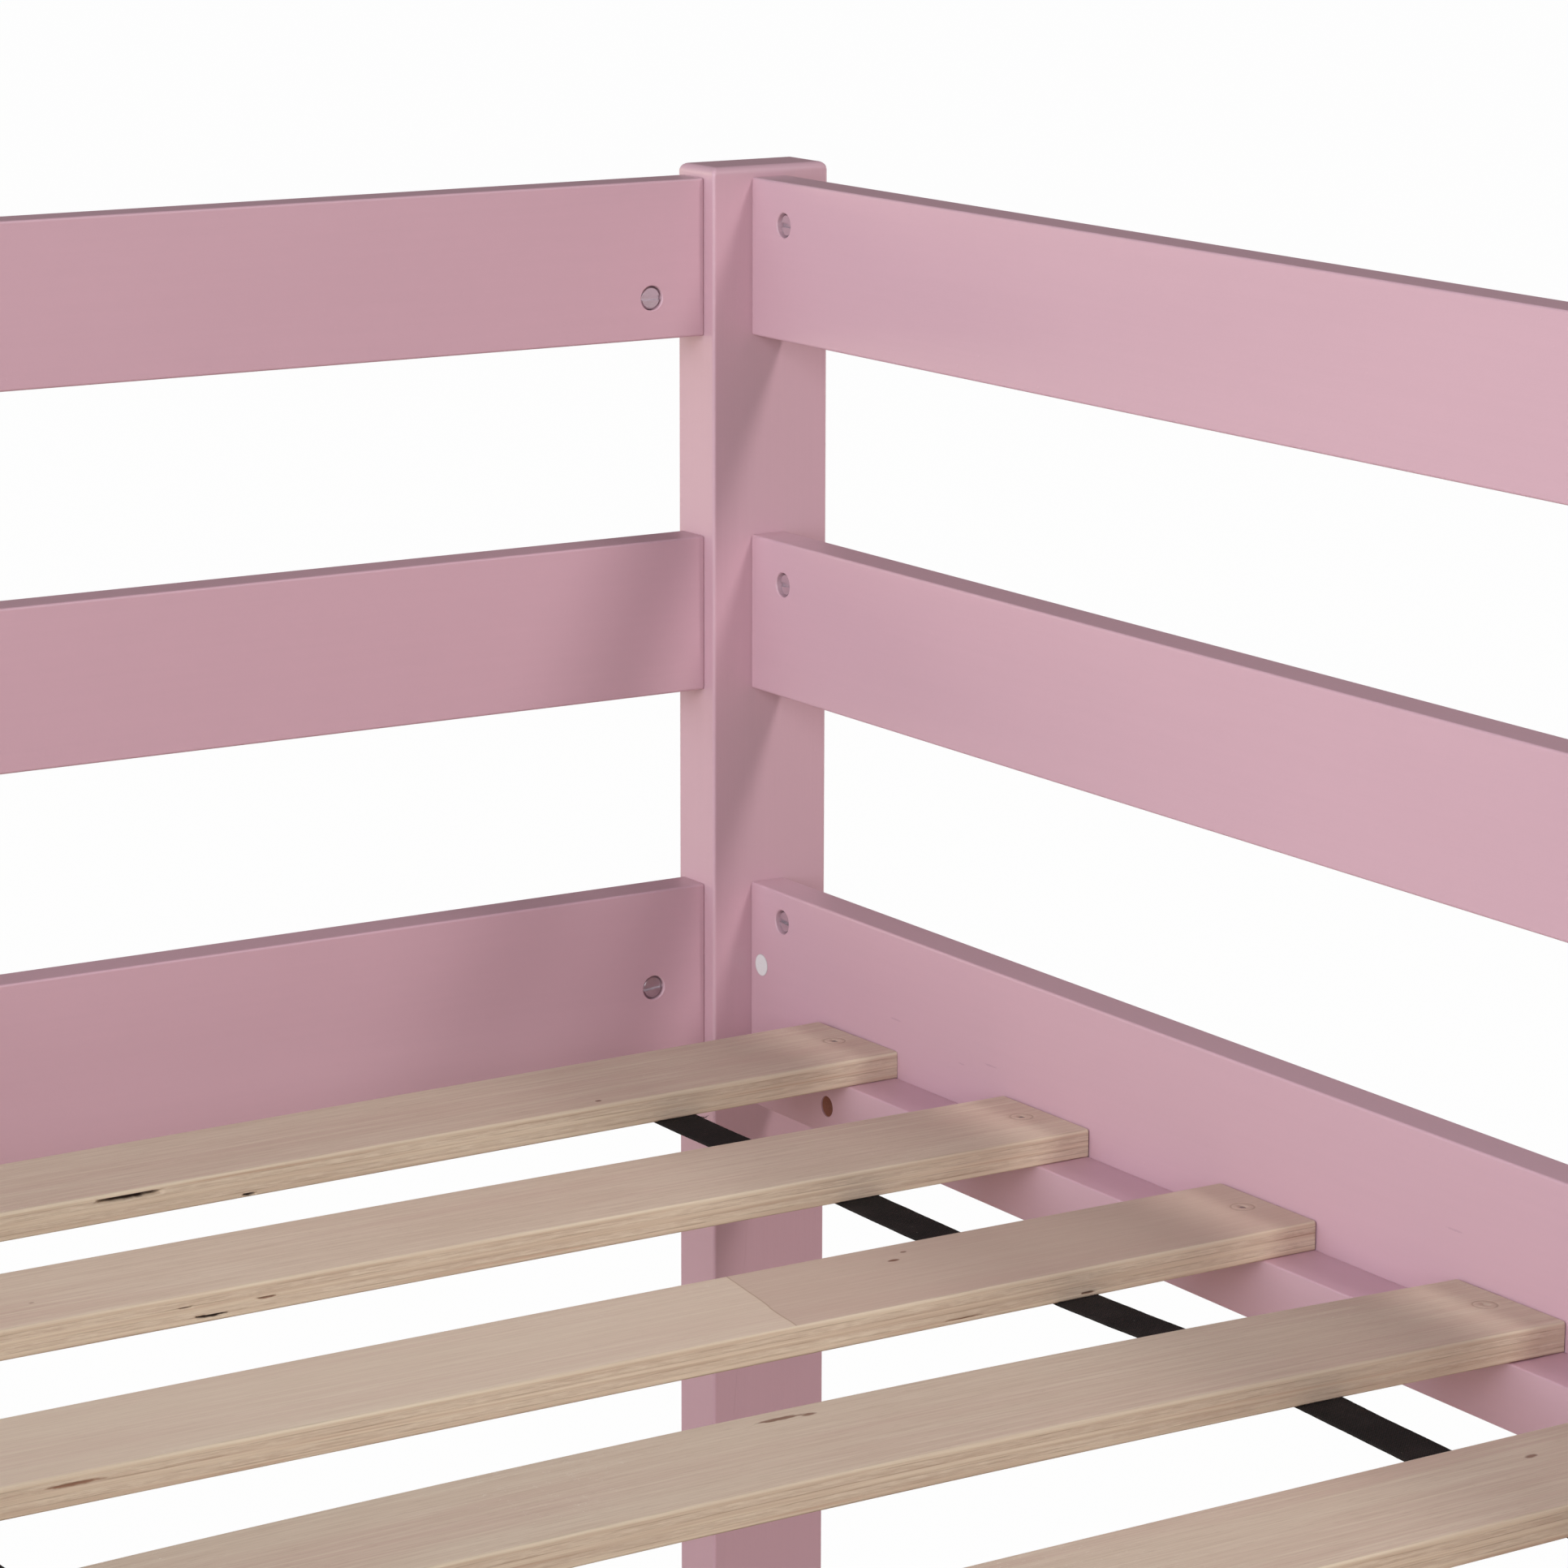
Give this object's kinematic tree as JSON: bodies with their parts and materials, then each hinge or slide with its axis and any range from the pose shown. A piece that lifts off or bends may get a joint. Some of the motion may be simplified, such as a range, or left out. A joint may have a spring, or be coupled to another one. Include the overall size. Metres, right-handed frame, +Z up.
{
  "type": "toddler bed",
  "caption": "Low pink wooden bed frame with post corners, three rails at the back and ends, an open front over a single bottom rail, and a plywood slat deck.",
  "frame": {"origin": "on the floor under the middle of the bed", "axes": "+X along the bed from head to foot, +Y across it towards the back side with the full-length rails, +Z up"},
  "size_m": [1.48, 0.785, 0.7],
  "materials": {
    "pink_paint": "satin opaque paint over wood",
    "plywood": "sanded, uncoated poplar plywood",
    "dowel_beech": "raw beech",
    "webbing": "flat woven polypropylene tape",
    "zinc": "bright zinc plate",
    "screw_steel": "zinc plate, dull",
    "glide_plastic": "moulded polyethylene",
    "label_vinyl": "blank matt sticker"
  },
  "bodies": {
    "root": {"back_rail_bottom": "pink_paint", "back_rail_middle": "pink_paint", "back_rail_top": "pink_paint", "end_rail_barrel_nuts": "zinc", "end_rail_bolts": "zinc", "end_rail_dowels": "dowel_beech", "foot_glides": "glide_plastic", "foot_rail_bottom": "pink_paint", "foot_rail_middle": "pink_paint", "foot_rail_top": "pink_paint", "front_rail_bottom": "pink_paint", "head_rail_bottom": "pink_paint", "head_rail_middle": "pink_paint", "head_rail_top": "pink_paint", "ledger_back": "pink_paint", "ledger_front": "pink_paint", "ledger_screws": "screw_steel", "part_label": "label_vinyl", "post_foot_back": "pink_paint", "post_foot_front": "pink_paint", "post_head_back": "pink_paint", "post_head_front": "pink_paint", "side_rail_barrel_nuts": "zinc", "side_rail_bolts": "zinc", "side_rail_dowels": "dowel_beech", "slat_1": "plywood", "slat_2": "plywood", "slat_3": "plywood", "slat_4": "plywood", "slat_5": "plywood", "slat_6": "plywood", "slat_7": "plywood", "slat_8": "plywood", "slat_9": "plywood", "slat_nails": "screw_steel", "webbing_back": "webbing", "webbing_front": "webbing", "webbing_staples": "zinc"}
  },
  "joints": []
}
